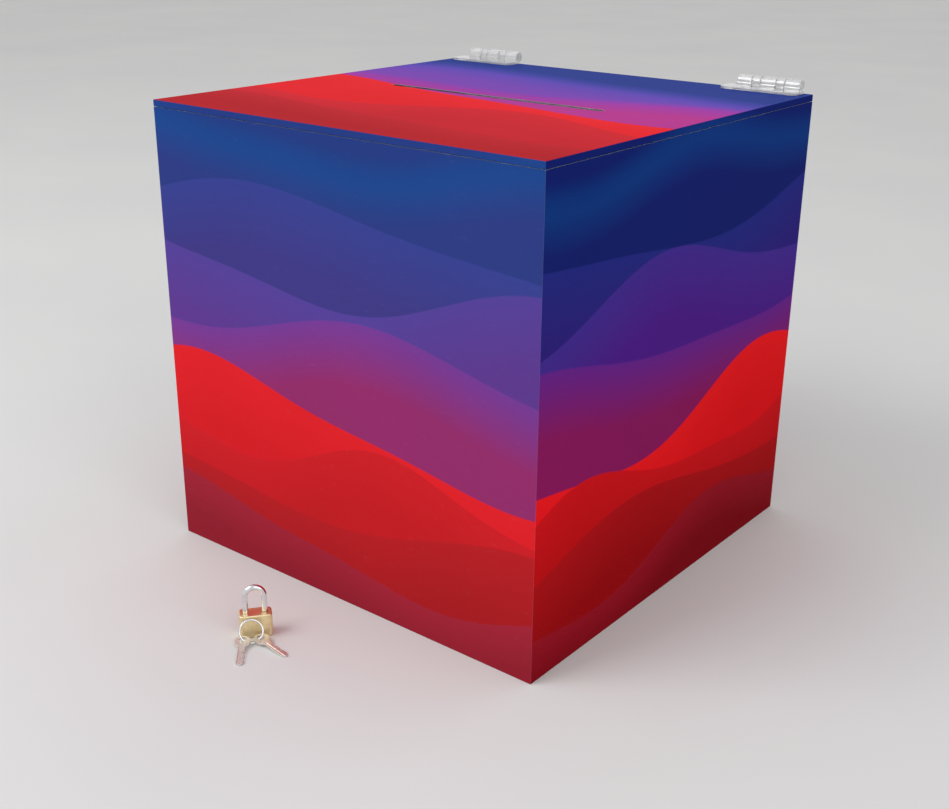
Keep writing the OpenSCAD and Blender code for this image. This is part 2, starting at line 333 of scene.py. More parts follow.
@dataclass(frozen=True)
class PrintedFilm(Finish):
    """Laminated film printed with waves of colour."""

    face: Face  # The face that it lies on
    size: float  # Width and height of that face
    design: Design  # What is printed on it
    shift: float = 0.0  # How far the waves are moved along, in cycles
    fade: float = 0.0  # Share of the white core that shows, as along a cut edge
    core: Colour = (0.8, 0.8, 0.82, 1)  # Colour of that core

    def art(self, shader: Shader) -> Feed:
        """Prints the waves over each other.

        Args:
            shader: The material under construction.

        Returns:
            The printed colour.
        """
        half = self.size / 2
        foot = -half if self.face is Face.LID else 0.0
        across = shader.span(shader.along(self.face.across), -half, half)
        up = shader.span(shader.along(self.face.up), foot, foot + self.size)
        finer, lower = self.design.ripple
        colour: Feed = ink(self.design.ground)
        for swell, (crest, body) in zip(self.design.swells, self.design.inks):
            start = math.tau * (swell.phase + self.shift)
            angle = shader.math(Operation.TIMES_PLUS, across, math.tau * swell.cycles, start)
            wave = shader.math(Operation.SINE, angle)
            ripple = shader.math(Operation.SINE, shader.math(Operation.TIMES, angle, finer))
            line = shader.math(Operation.TIMES_PLUS, wave, swell.swing, swell.height)
            line = shader.math(Operation.TIMES_PLUS, ripple, swell.swing * lower, line)
            below = shader.math(Operation.MINUS, line, up)
            tone = shader.mix(shader.span(below, 0.0, swell.depth), ink(crest), ink(body))
            colour = shader.mix(shader.span(below, -swell.softness, swell.softness), colour, tone)
        return colour

    def make(self) -> Material:
        """Makes the print with its grain, its laminate and its scuffs.

        Returns:
            The material.
        """
        shader = Shader(self.name)
        grain = shader.span(shader.noise(5200, 1), 0.3, 0.7, 0.96, 1.04)
        drift = shader.span(shader.noise(9, 2), 0.3, 0.7, 0.97, 1.03)
        tone = shader.math(Operation.TIMES, grain, drift)
        scuffs = shader.span(shader.noise(160, 6, (1, 7, 3)), 0.62, 0.78)
        bare = shader.math(Operation.TIMES_PLUS, scuffs, 0.015, self.fade)
        return shader.surface(
            base_color=shader.mix(bare, shader.mix(1.0, self.art(shader), tone, Blend.MULTIPLY), self.core),
            roughness=0.6,
            specular_ior_level=0.0,
            coat_weight=0.06,
            coat_roughness=0.25,
            normal=shader.bump(shader.noise(1900, 2), 0.006 * MM, 0.35),
        )


@dataclass(frozen=True)
class Matt(Finish):
    """Pale matt surface with duller patches."""

    light: Colour  # Its lightest colour
    dull: Colour  # Colour of its duller patches
    patches: float  # Number of patches in a metre
    sheen: Flat  # Roughness where it is smoothest and where it is dullest
    shine: float  # Strength of its reflection
    tooth: float  # Height of its fine texture

    def make(self) -> Material:
        """Makes the matt surface.

        Returns:
            The material.
        """
        shader = Shader(self.name)
        mottle = shader.noise(self.patches, 4)
        return shader.surface(
            base_color=shader.mix(shader.span(mottle, 0.3, 0.7), self.light, self.dull),
            roughness=shader.span(mottle, 0.3, 0.7, *self.sheen),
            specular_ior_level=self.shine,
            normal=shader.bump(shader.noise(2600, 2), self.tooth, 0.4),
        )


@dataclass(frozen=True)
class Metal(Finish):
    """Metal with brushing, stains and worn patches."""

    bright: Colour  # Colour where it is polished by handling
    dull: Colour  # Colour where it is tarnished
    sheen: Flat  # Roughness at its brightest and at its dullest
    brushing: Point  # Factor on the brush marks' frequency along each axis
    turn: float = 0.0  # Turn of the marks about the vertical, in degrees
    depth: float = 0.004 * MM  # Height of the marks

    def make(self) -> Material:
        """Makes the metal.

        Returns:
            The material.
        """
        shader = Shader(self.name)
        stains = shader.noise(230, 5)
        marks = shader.noise(900, 4, self.brushing, math.radians(self.turn))
        worn = shader.math(Operation.TIMES_PLUS, marks, 0.35, shader.math(Operation.TIMES, stains, 0.65))
        return shader.surface(
            base_color=shader.mix(shader.span(worn, 0.38, 0.66), self.bright, self.dull),
            metallic=1.0,
            roughness=shader.span(worn, 0.36, 0.66, *self.sheen),
            normal=shader.bump(marks, self.depth, 0.5),
        )


WALL_SWELLS = (
    Swell(0.96, 0.030, 0.90, 0.30, 0.10, 0.03),
    Swell(0.81, 0.050, 0.60, 0.02, 0.14),
    Swell(0.70, 0.055, 0.75, 0.45, 0.15),
    Swell(0.575, 0.045, 0.70, 0.80, 0.13),
    Swell(0.405, 0.060, 0.75, 0.12, 0.16),
    Swell(0.31, 0.050, 0.95, 0.62, 0.12),
    Swell(0.215, 0.045, 0.65, 0.55, 0.14),
    Swell(0.115, 0.045, 0.85, 0.20, 0.10),
)
LID_SWELLS = (
    Swell(0.80, 0.05, 0.60, 0.10, 0.18, 0.05),
    Swell(0.62, 0.05, 0.70, 0.50, 0.14, 0.03),
    Swell(0.47, 0.07, 0.70, 0.20, 0.16),
    Swell(0.30, 0.06, 0.90, 0.60, 0.14),
    Swell(0.16, 0.04, 0.80, 0.15, 0.10),
)
# The wall print in two copies of one design: this lit one for the front and back, and a deeper one for the
# left and right
LIT_WALL = Design(
    (38, 60, 130),
    (
        ((24, 74, 144), (46, 60, 130)),
        ((56, 66, 144), (64, 58, 132)),
        ((84, 66, 152), (94, 58, 142)),
        ((116, 60, 150), (146, 46, 106)),
        ((224, 34, 42), (212, 30, 38)),
        ((204, 32, 40), (194, 30, 36)),
        ((182, 32, 38), (168, 29, 34)),
        ((162, 38, 56), (146, 33, 48)),
    ),
    WALL_SWELLS,
)
# Deeper copy of the wall print, partly a more saturated print and partly painted shade
DEEP_SHADED_WALL = Design(
    (14, 30, 104),
    (
        ((10, 60, 130), (18, 30, 104)),
        ((34, 40, 124), (44, 30, 118)),
        ((64, 42, 138), (74, 26, 130)),
        ((98, 34, 134), (132, 22, 88)),
        ((228, 22, 28), (216, 14, 22)),
        ((198, 16, 24), (184, 12, 18)),
        ((166, 14, 20), (146, 8, 14)),
        ((144, 18, 34), (124, 8, 20)),
    ),
    WALL_SWELLS,
)
LID_TOP = Design(
    (46, 64, 142),
    (
        ((84, 76, 178), (122, 72, 176)),
        ((150, 62, 170), (178, 56, 140)),
        ((230, 38, 46), (222, 34, 42)),
        ((206, 38, 50), (196, 36, 46)),
        ((188, 36, 46), (176, 32, 40)),
    ),
    LID_SWELLS,
)
# What is printed on each face, and how far its waves are moved along; the left and right faces take the
# deeper copy with its painted shade
PRINTS: dict[Face, tuple[Design, float]] = {
    Face.FRONT: (LIT_WALL, 0.0),
    Face.RIGHT: (DEEP_SHADED_WALL, 0.45),
    Face.BACK: (LIT_WALL, 0.2),
    Face.LEFT: (DEEP_SHADED_WALL, 0.7),
    Face.LID: (LID_TOP, 0.0),
}

SHEET_ACRYLIC = ClearAcrylic("clear_sheet_acrylic", (0.93, 0.97, 0.98, 1), (0.89, 0.95, 0.96, 1), 0.02, 1.0)
EDGE_ACRYLIC = ClearAcrylic("polished_acrylic_edge", (0.88, 0.94, 0.95, 1), (0.82, 0.90, 0.91, 1), 0.1, 0.7)
PANEL_ACRYLIC = ClearAcrylic(
    "backed_panel_acrylic", (0.93, 0.96, 0.965, 1), (0.89, 0.93, 0.94, 1), haze=0.02, clear=0.5
)
HINGE_ACRYLIC = ClearAcrylic(
    "clear_hinge_acrylic", (0.99, 0.99, 0.995, 1), (0.96, 0.97, 0.98, 1), haze=0.06, clear=0.68, gloss=1.0
)
VINYL = Matt("white_vinyl", (0.83, 0.83, 0.82, 1), (0.74, 0.74, 0.74, 1), 700, (0.5, 0.65), 0.5, 0.004 * MM)
FLOOR = Matt("studio_floor", (0.72, 0.72, 0.715, 1), (0.69, 0.69, 0.69, 1), 3, (0.7, 0.8), 0.2, 0.0)
LOCK_BRASS = Metal(
    "brushed_brass", (0.92, 0.78, 0.48, 1), (0.78, 0.62, 0.34, 1), (0.36, 0.54), (1, 1, 14), LOCK_YAW
)
PLUG_BRASS = Metal("turned_brass", (0.84, 0.68, 0.38, 1), (0.62, 0.47, 0.24, 1), (0.22, 0.4), (1, 1, 6))
BAR_STEEL = Metal("plated_bar", (0.86, 0.87, 0.89, 1), (0.70, 0.71, 0.73, 1), (0.08, 0.24), (1, 1, 3))
WIRE_STEEL = Metal("plated_wire", (0.85, 0.85, 0.87, 1), (0.66, 0.66, 0.68, 1), (0.10, 0.28), (2, 2, 2))
KEY_NICKEL = Metal(
    "worn_nickel", (0.92, 0.90, 0.84, 1), (0.74, 0.70, 0.61, 1), (0.40, 0.58), (1, 9, 1), LOCK_YAW
)


def arc(centre: Flat, radius: float, start: float, end: float, steps: int) -> list[Flat]:
    """Lays points along an arc, from a start to an end angle in degrees, both included."""
    angles = [math.radians(start + (end - start) * i / steps) for i in range(steps + 1)]
    return [(centre[0] + radius * math.cos(a), centre[1] + radius * math.sin(a)) for a in angles]


def circle(centre: Flat, radius: float, steps: int = 48) -> list[Flat]:
    """Lays points round a circle, anticlockwise and without a repeat."""
    return arc(centre, radius, 0, 360, steps)[:-1]


def rounded_rect(low: Flat, high: Flat, radii: Sequence[float] = (0,) * 4, steps: int = 8) -> list[Flat]:
    """Lays the outline of a rectangle with round corners, anticlockwise.

    Args:
        low: Its lower left corner.
        high: Its upper right corner.
        radii: Corner radii from the lower left one, anticlockwise; 0 leaves a sharp corner.
        steps: Number of segments in a round corner.

    Returns:
        The outline's points.
    """
    (left, bottom), (right, top) = low, high
    corners = ((left, bottom, 1, 1), (right, bottom, -1, 1), (right, top, -1, -1), (left, top, 1, -1))
    points: list[Flat] = []
    for quarter, ((x, y, in_x, in_y), radius) in enumerate(zip(corners, radii), 2):
        start = 90 * quarter
        if radius:
            points += arc((x + in_x * radius, y + in_y * radius), radius, start, start + 90, steps)
        else:
            points.append((x, y))
    return points


def inset(outline: Sequence[Flat], distance: float) -> list[Flat]:
    """Moves an anticlockwise outline inwards by a small distance.

    Args:
        outline: The outline's points.
        distance: How far each side moves to its left.

    Returns:
        The moved points.
    """
    sharpest = 0.3  # Least cosine of half a corner's turn, so that a sharp corner stays near
    moved = []
    for i, point in enumerate(outline):
        here = Vector(point)
        first = (here - Vector(outline[i - 1])).normalized()
        second = (Vector(outline[(i + 1) % len(outline)]) - here).normalized()
        left = Vector((-first.y - second.y, first.x + second.x)).normalized()
        spread = max(left.dot(Vector((-first.y, first.x))), sharpest)
        moved.append(tuple(here + left * (distance / spread)))
    return moved


def eased_prism(outline: Sequence[Flat], low: float, high: float, ease: float, place: Matrix,
                holes: Sequence[Sequence[Flat]] = (), steps: int = 3) -> BMesh:
    """Extrudes an outline with rounded rims.

    Args:
        outline: The outline, anticlockwise.
        low: Start of the extrusion.
        high: End of the extrusion.
        ease: Radius of the rims, or 0 for sharp ones.
        place: Matrix from the outline's frame to the box's.
        holes: Outlines of holes right through, anticlockwise.
        steps: Number of segments in a rim's rounding.

    Returns:
        A closed mesh.
    """
    rim = arc((0, 0), ease, 90, 0, steps) if ease else [(0, 0)]
    levels = [(low + ease - up, ease - out) for out, up in rim]
    levels += [(low + high - level, step) for level, step in reversed(levels)]
    bm = bmesh.new()
    caps: list[list[BMEdge]] = [[], []]
    for ring, sign in [(outline, 1), *((hole, -1) for hole in holes)]:
        loops = [[bm.verts.new((*p, level)) for p in inset(ring, sign * step)] for level, step in levels]
        count = len(ring)
        for lower, upper in zip(loops, loops[1:]):
            for i in range(count):
                j = (i + 1) % count
                quad = (lower[i], lower[j], upper[j], upper[i])
                bm.faces.new(quad if sign > 0 else quad[::-1])
        for cap, loop in zip(caps, (loops[0], loops[-1])):
            cap += [bm.edges.get((loop[i], loop[(i + 1) % count])) for i in range(count)]
        if not holes:
            bm.faces.new(loops[0][::-1])
            bm.faces.new(loops[-1])
    if holes:
        for cap in caps:
            bmesh.ops.triangle_fill(bm, use_beauty=True, edges=cap)
    bmesh.ops.recalc_face_normals(bm, faces=bm.faces)
    bmesh.ops.transform(bm, matrix=place, verts=bm.verts)
    return bm


class Piece:
    """A piece of the object on its way from bare mesh to dressed object."""

    def __init__(self, name: str, bm: BMesh) -> None:
        """Turns a mesh under construction into an object.

        Args:
            name: The piece's name, which is its CAD node's too where it has one.
            bm: Its mesh, which is used up.
        """
        self.name = name
        mesh = bpy.data.meshes.new(f"dressed_{name}")
        bm.to_mesh(mesh)
        bm.free()
        self.obj = bpy.data.objects.new(f"dressed_{name}", mesh)
        bpy.context.collection.objects.link(self.obj)

    def modifier(self, kind: str, **settings: object) -> Modifier:
        """Adds a modifier.

        Args:
            kind: The modifier's type name.
            **settings: Properties to set on it.

        Returns:
            The new modifier.
        """
        made = self.obj.modifiers.new(kind.lower(), kind)
        for key, value in settings.items():
            setattr(made, key, value)
        return made

    def bake(self) -> None:
        """Turns the result of the modifiers into the piece's plain mesh."""
        graph = bpy.context.evaluated_depsgraph_get()
        plain = bpy.data.meshes.new_from_object(
            self.obj.evaluated_get(graph), preserve_all_data_layers=True, depsgraph=graph
        )
        plain.name = self.obj.name
        worked = self.obj.data
        self.obj.modifiers.clear()
        self.obj.data = plain
        bpy.data.meshes.remove(worked)

    def discard(self) -> None:
        """Deletes the mesh of a piece that was only a tool, and the object with it."""
        bpy.data.meshes.remove(self.obj.data)

    def combine(self, way: Boolean, *others: BMesh) -> None:
        """Joins closed meshes to the piece, or cuts them out of it.

        Args:
            way: Which of the two.
            *others: The meshes, which are used up.
        """
        tools = [Piece(f"tool_{i}", bm) for i, bm in enumerate(others)]
        for tool in tools:
            self.modifier("BOOLEAN", operation=way.value, solver="EXACT", object=tool.obj)
        self.bake()
        for tool in tools:
            tool.discard()

    def smooth(self, angle: float = 32.0) -> None:
        """Shades the piece smoothly, with flat faces kept flat.

        Args:
            angle: Edges sharper than this, in degrees, stay sharp.
        """
        self.obj.data.shade_smooth()
        self.obj.data.set_sharp_from_angle(angle=math.radians(angle))
        self.modifier("WEIGHTED_NORMAL", weight=60, keep_sharp=True)
        self.bake()

    def paint(self, finishes: Sequence[Finish], choose: Chooser = lambda face: 0) -> None:
        """Gives the piece its materials.

        Args:
            finishes: The finishes in order.
            choose: Picks a finish for each face by its index; without it all take the first.
        """
        self.obj.data.materials.clear()
        for finish in finishes:
            self.obj.data.materials.append(finish.material())
        for face in self.obj.data.polygons:
            face.material_index = choose(face)

    def settle(self, body: str) -> None:
        """Puts the piece in the place of the CAD node of its own name.

        Args:
            body: The body that it rides on.
        """
        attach(self.obj, body)
        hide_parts(self.name)
        LOG.info("%s rides on %s with %d faces", self.obj.name, body, len(self.obj.data.polygons))

    def dress(self, finish: Finish, body: str, angle: float = 32.0) -> None:
        """Smooths, paints and settles a piece of one finish.

        Args:
            finish: Its finish.
            body: The body that it rides on.
            angle: Edges sharper than this, in degrees, stay sharp.
        """
        self.smooth(angle)
        self.paint([finish])
        self.settle(body)


class ShapeTree(Graph):
    """A Geometry Nodes tree under construction, with named inputs."""

    def __init__(self, name: str) -> None:
        """Starts a tree that takes a geometry and gives one.

        Args:
            name: The tree's name.
        """
        super().__init__(bpy.data.node_groups.new(name, "GeometryNodeTree"))
        for way in ("INPUT", "OUTPUT"):
            self.tree.interface.new_socket("Geometry", in_out=way, socket_type="NodeSocketGeometry")
        self.start = self.node("NodeGroupInput")
        self.values: Settings = {}

    def input(self, name: str, kind: str, value: object) -> NodeSocket:
        """Adds a named input.

        Args:
            name: Its name.
            kind: Its socket type, such as Float or Object.
            value: What the modifier sets it to.

        Returns:
            The socket to link from.
        """
        made = self.tree.interface.new_socket(name, in_out="INPUT", socket_type=f"NodeSocket{kind}")
        self.values[made.identifier] = value
        return self.start.outputs[name]

    def apply(self, piece: Piece, result: Node, finish: Finish) -> None:
        """Ends the tree, runs it on a piece and keeps the plain mesh.

        Args:
            piece: The piece that takes the result.
            result: The tree's last geometry.
            finish: The finish of the result.
        """
        material = self.input("Finish", "Material", finish.material())
        real = self.node("GeometryNodeRealizeInstances", result)
        self.node("NodeGroupOutput", self.node("GeometryNodeSetMaterial", real, material=material))
        modifier = piece.modifier("NODES", node_group=self.tree)
        for identifier, value in self.values.items():
            modifier[identifier] = value
        piece.bake()


@dataclass
class Hasp:
    """The hasp for the padlock: a lug under the lid over a lug on the left wall."""

    hole: Flat = (-159.5 * MM, -100 * MM)  # Middle of the padlock's hole
    bore: float = 3 * MM  # Radius of the hole
    width: float = 24 * MM  # Width of a lug
    clear: float = 0.8 * MM  # Clearance round the upper lug in the wall
    corner: float = 8 * MM  # Radius of a lug's outer corners
    lower: float = 4 * MM  # Thickness of the lower lug
    flange: float = 3 * MM  # Thickness of the flange that holds it to the wall
    lap: float = 0.6 * MM  # How far the flange ends below the lug's upper side
    ease: float = 0.3 * MM  # Radius of the polished rims

    def plate(self, low: Point, high: Point) -> BMesh:
        """Makes a lug's plate with its hole between two opposite corners."""
        plan = rounded_rect(low[:2], high[:2], (self.corner, 0, 0, self.corner))
        return eased_prism(plan, low[2], high[2], self.ease, Matrix(), [circle(self.hole, self.bore)])

    def build_box_lug(self) -> None:
        """Builds the lower lug with the flange that holds it to the wall."""
        low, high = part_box("box_hasp_lug")
        wall = high.x - HAIR
        plate = self.plate((low.x, low.y, high.z - self.lower), (wall, high.y, high.z))
        plan = rounded_rect((high.x - self.flange, low.y), (wall, high.y))
        flange = eased_prism(plan, low.z, high.z - self.lap, self.ease, Matrix())
        piece = Piece("box_hasp_lug", plate)
        piece.combine(Boolean.JOIN, flange)
        piece.dress(SHEET_ACRYLIC, "box")

    def build_lid_lug(self) -> None:
        """Builds the upper lug, which is bonded under the lid."""
        low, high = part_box("lid_hasp_lug")
        piece = Piece("lid_hasp_lug", self.plate(tuple(low), (high.x, high.y, high.z - HAIR)))
        piece.dress(SHEET_ACRYLIC, "lid")


@dataclass
class PrintedCase:
    """The open box: five bonded acrylic panels, and the film on its walls."""

    hasp: Hasp  # The hasp on its left wall
    size: float = 300 * MM  # Width, depth and height of the box over its lid
    panel: float = 4 * MM  # Thickness of the acrylic
    wall: float = 295.8 * MM  # Height of the walls
    rim: float = 6 * MM  # Distance from the box's sides within which a panel's edge is an outer one
    film: float = 0.2 * MM  # Thickness of the film
    margin: float = 0.1 * MM  # Bare margin along the film's upper and lower edges
    edge_fade: float = 0.1  # Share of white along the film's cut edges
    ease: float = 0.35 * MM  # Radius of the polished edges

    def film_finishes(self, face: Face) -> tuple[PrintedFilm, PrintedFilm]:
        """Gives the finishes of a film's face and of its cut edges."""
        flat = PrintedFilm(f"{face.word}_waves", face, self.size, *PRINTS[face])
        return flat, replace(flat, name=f"{face.word}_cut_edge", fade=self.edge_fade)

    def wall_outline(self, face: Face, ends: float, rims: float, notch: Flat) -> list[Flat]:
        """Lays the outline of a wall or its film, with the hasp's notch in the left one.

        Args:
            face: The wall.
            ends: Distance of its ends from the box's corners.
            rims: Distance of its lower and upper edges from the wall's.
            notch: Gap between the notch and the lug, and height of the notch's floor.

        Returns:
            The outline, anticlockwise as seen from outside.
        """
        end, top = self.size / 2 - ends, self.wall - rims
        corners = [(-end, rims), (end, rims), (end, top)]
        if face is Face.LEFT:
            gap, floor = notch
            middle, reach = -self.hasp.hole[1], self.hasp.width / 2 + gap
            low, high = middle - reach, middle + reach
            corners += [(high, top), (high, floor), (low, floor), (low, top)]
        return [*corners, (-end, top)]

    def build_panels(self) -> None:
        """Builds the four walls and the base."""
        half, clear = self.size / 2, self.hasp.clear
        notch = (clear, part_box("lid_hasp_lug")[0].z - clear)
        for face in WALLS:
            outline = self.wall_outline(face, 0 if face.laps else self.panel + HAIR, 0, notch)
            bm = eased_prism(outline, -self.panel, 0, self.ease, face.matrix(half))
            self.finish_panel(f"{face.word}_panel", bm, face)
        end = half - self.panel - HAIR
        base = eased_prism(rounded_rect((-end, -end), (end, end)), 0, self.panel, self.ease, Matrix())
        self.finish_panel("base_panel", base, Face.LID)

    def finish_panel(self, name: str, bm: BMesh, face: Face, body: str = "box") -> None:
        """Dresses an acrylic panel, its polished outer edges and its clear inner ones.

        Args:
            name: Its name.
            bm: Its mesh.
            face: A face of the box that is parallel to its broad sides.
            body: The body that it rides on.
        """
        piece = Piece(name, bm)
        piece.smooth()
        layers = [PANEL_ACRYLIC, EDGE_ACRYLIC, SHEET_ACRYLIC]
        piece.paint(layers, lambda facet: self.panel_layer(facet, face.outward))
        piece.settle(body)

    def panel_layer(self, facet: MeshPolygon, broad: Vector) -> int:
        """Picks the finish of a facet of a panel.

        Args:
            facet: The facet.
            broad: Direction out of one of the panel's broad sides.

        Returns:
            0 on a broad side, 1 on an outer edge and 2 on an inner edge.
        """
        if abs(facet.normal.dot(broad)) > FACING:
            return 0
        return 2 if max(map(abs, facet.center.xy)) < self.size / 2 - self.rim else 1

    def build_films(self) -> None:
        """Builds the printed film of each wall."""
        notch = (self.hasp.clear + self.margin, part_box("box_hasp_lug")[0].z - self.margin)
        for face in WALLS:
            outline = self.wall_outline(face, -self.film if face.laps else HAIR, self.margin, notch)
            bm = eased_prism(outline, HAIR, self.film, 0, face.matrix(self.size / 2))
            piece = Piece(f"{face.word}_print", bm)
            layers = [*self.film_finishes(face), VINYL]
            # The print faces outward, the cut edges stand across it and the white back faces inward
            piece.paint(layers, lambda facet, out=face.outward: 1 - round(facet.normal.dot(out)))
            piece.settle("box")

    def build(self) -> None:
        """Builds the whole open box."""
        self.build_panels()
        self.build_films()
        self.hasp.build_box_lug()


@dataclass
class SlottedLid:
    """The lid: a slotted acrylic panel and its folded film."""

    case: PrintedCase  # The box under it
    thick: float = 4 * MM  # Thickness of the lid
    slot: Flat = (170 * MM, 5.5 * MM)  # Length and width of the posting slot
    slot_round: float = 0.999  # Radius of its ends as a share of half its width; 1 would double a point
    slot_margin: float = 0.5 * MM  # How far the film stands back from the slot
    fold: float = 0.5 * MM  # Radius of the film's folds

    def slot_outline(self, margin: float) -> list[Flat]:
        """Lays the outline of the posting slot, anticlockwise and widened by a margin."""
        half, wide = self.slot[0] / 2 + margin, self.slot[1] / 2 + margin
        return rounded_rect((-half, -wide), (half, wide), (wide * self.slot_round,) * 4, 10)

    def build_panel(self) -> None:
        """Builds the slotted acrylic."""
        half, top = self.case.size / 2, self.case.size
        outline = rounded_rect((-half, -half), (half, half))
        bm = eased_prism(outline, top - self.thick, top, self.case.ease, Matrix(), [self.slot_outline(0)])
        self.case.finish_panel("lid_panel", bm, Face.LID, "lid")

    def film_sheet(self) -> BMesh:
        """Lays the film as a sheet without thickness.

        Returns:
            The sheet's outer side, folded over the lid's front and side edges.
        """
        case = self.case
        out, rear, top = case.size / 2 + case.film, case.size / 2 - case.margin, case.size + case.film
        levels = [(0.0, case.size - self.thick + case.margin)]
        levels += [(self.fold - x, top - self.fold + z) for x, z in arc((0, 0), self.fold, 0, 90, 4)]
        bm = bmesh.new()
        rows = []
        for step, z in levels:
            edge = out - step
            corners = ((-edge, rear, z), (-edge, -edge, z), (edge, -edge, z), (edge, rear, z))
            rows.append([bm.verts.new(corner) for corner in corners])
        for lower, upper in zip(rows, rows[1:]):
            for i in range(3):
                bm.faces.new((lower[i], lower[i + 1], upper[i + 1], upper[i]))
        rim = [bm.verts.new((*p, top)) for p in self.slot_outline(self.slot_margin)]
        edges = [bm.edges.new((rim[i - 1], rim[i])) for i in range(len(rim))]
        edges += [bm.edges.get((rows[-1][i], rows[-1][i + 1])) for i in range(3)]
        edges.append(bm.edges.new((rows[-1][3], rows[-1][0])))
        bmesh.ops.triangle_fill(bm, use_beauty=True, edges=edges)
        for face in bm.faces:
            if face.normal.dot(face.calc_center_median() - Vector((0, 0, case.size / 2))) < 0:
                face.normal_flip()
        return bm

    def build_film(self) -> None:
        """Builds the folded film, each fold with the print of the wall below it."""
        piece = Piece("lid_print", self.film_sheet())
        sides = (Face.LID, Face.FRONT, Face.LEFT, Face.RIGHT)
        prints, edges = zip(*(self.case.film_finishes(side) for side in sides))
        piece.paint(
            [*prints, *edges, VINYL],
            lambda facet: max(range(len(sides)), key=lambda i: facet.normal.dot(sides[i].outward)),
        )
        piece.modifier(
            "SOLIDIFY",
            thickness=self.case.film - HAIR,
            offset=-1,
            use_even_offset=True,
            material_offset_rim=len(prints),
            material_offset=2 * len(prints),
        )
        piece.bake()
        piece.settle("lid")

    def build(self) -> None:
        """Builds the whole lid."""
        self.build_panel()
        self.build_film()
        self.case.hasp.build_lid_lug()


@dataclass
class KnuckleHinge:
    """A clear butt hinge: two leaves with interleaved knuckles on a pin."""

    side: Side  # Which hinge
    row: float = 46 * MM  # Length of the row of knuckles
    plate: float = 56 * MM  # Width of a leaf's plate
    reach: float = 20 * MM  # Length of a leaf from the axis
    thick: float = 2 * MM  # Thickness of a leaf
    corner: float = 4 * MM  # Radius of a plate's corners
    knuckle: float = 4 * MM  # Radius of a knuckle
    lid_count: int = 3  # Number of knuckles on the lid's leaf; the other leaf has one fewer
    back_length: float = 6 * MM  # Length of a knuckle on the back leaf
    gap: float = 0.3 * MM  # Gap between knuckles
    clear: float = 0.4 * MM  # Clearance of a leaf round the other leaf's knuckles
    fillet: float = 2 * MM  # Radius between a leaf and its knuckles
    flat_end: float = 1.6 * MM  # How far short of the axis the flat underside of a knuckle ends
    low_point: float = -88.0  # Angle where its round starts, in degrees, just past the lowest point
    pin: float = 1.5 * MM  # Radius of the pin
    bore: float = 1.55 * MM  # Radius of its bore
    recess: float = 0.6 * MM  # How far the pin's ends lie inside
    ease: float = 0.4 * MM  # Radius of the moulded edges
    pin_ease: float = 0.25 * MM  # Radius of the pin's rims

    @property
    def axis(self) -> Matrix:
        """Place of the middle of the hinge axis, which is the pin's."""
        low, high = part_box(f"hinge_pin_{self.side.word}")
        return Matrix.Translation((low + high) / 2)

    def knuckles(self, leaf: Leaf) -> tuple[int, float, float, float]:
        """Lays out a leaf's knuckles along the axis.

        Args:
            leaf: Which leaf.

        Returns:
            Their number, the length of one, the middle of the first and the spacing.
        """
        between = self.back_length + 2 * self.gap
        lid_length = (self.row - (self.lid_count - 1) * between) / self.lid_count
        spacing = lid_length + between
        if leaf is Leaf.LID:
            return self.lid_count, lid_length, (lid_length - self.row) / 2, spacing
        return self.lid_count - 1, self.back_length, lid_length + (between - self.row) / 2, spacing

    def knuckle_outline(self) -> list[Flat]:
        """Lays the section of a knuckle with its arm and fillet, across and up from the axis.

        Returns:
            The outline, anticlockwise.
        """
        radius = self.knuckle - HAIR
        top, foot = self.thick - self.knuckle, -self.knuckle + 2 * HAIR
        arm = -(self.knuckle + self.clear + self.fillet)
        points = [(arm, foot), (-self.flat_end, foot)]
        points += arc((0, 0), radius, self.low_point, 180, 48)
        points += arc((-(radius + self.fillet), top + self.fillet), self.fillet, 0, -90, 12)[1:]
        return [*points, (arm, top - 2 * HAIR)]

    def add_knuckles(self, piece: Piece, leaf: Leaf) -> None:
        """Adds a leaf's row of knuckles to its plate, as one moulding.

        Args:
            piece: The plate.
            leaf: Which leaf.
        """
        count, span, first, spacing = self.knuckles(leaf)
        # The section lies across and up, and is extruded along the axis
        along = Matrix(((0, 0, 1, 0), (1, 0, 0, 0), (0, 1, 0, 0), (0, 0, 0, 1)))
        hole = circle((0, 0), self.bore)
        bm = eased_prism(self.knuckle_outline(), -span / 2, span / 2, self.ease, along, [hole])
        knuckle = Piece("knuckle", bm)
        tree = ShapeTree(f"{piece.obj.name}_row")
        line = tree.node(
            "GeometryNodeMeshLine",
            tree.input("Knuckles", "Int", count),
            tree.input("First knuckle", "Vector", (first, 0.0, 0.0)),
            tree.input("Spacing", "Vector", (spacing, 0.0, 0.0)),
            settings={"mode": "OFFSET"},
        )
        shape = tree.node("GeometryNodeObjectInfo", tree.input("Knuckle", "Object", knuckle.obj))
        row = tree.node("GeometryNodeInstanceOnPoints", line, instance=shape.outputs["Geometry"])
        solid = tree.node("GeometryNodeRealizeInstances", row)
        union = {"operation": Boolean.JOIN.value, "solver": "EXACT"}
        joined = tree.node("GeometryNodeMeshBoolean", solid, settings=union)
        tree.tree.links.new(tree.start.outputs["Geometry"], joined.inputs["Mesh 2"])
        tree.apply(piece, joined, HINGE_ACRYLIC)
        knuckle.discard()

    def build_leaf(self, leaf: Leaf) -> None:
        """Builds a leaf as it lies on the lid, and turns the back one to hang down.

        Args:
            leaf: Which leaf.
        """
        half = self.plate / 2
        plan = rounded_rect((-half, -self.reach), (half, -self.knuckle - self.clear), (self.corner,) * 4)
        plate = eased_prism(plan, -self.knuckle + HAIR, self.thick - self.knuckle, self.ease, Matrix())
        piece = Piece(f"hinge_{leaf.word}_leaf_{self.side.word}", plate)
        self.add_knuckles(piece, leaf)
        mesh = piece.obj.data
        if leaf is Leaf.BACK:
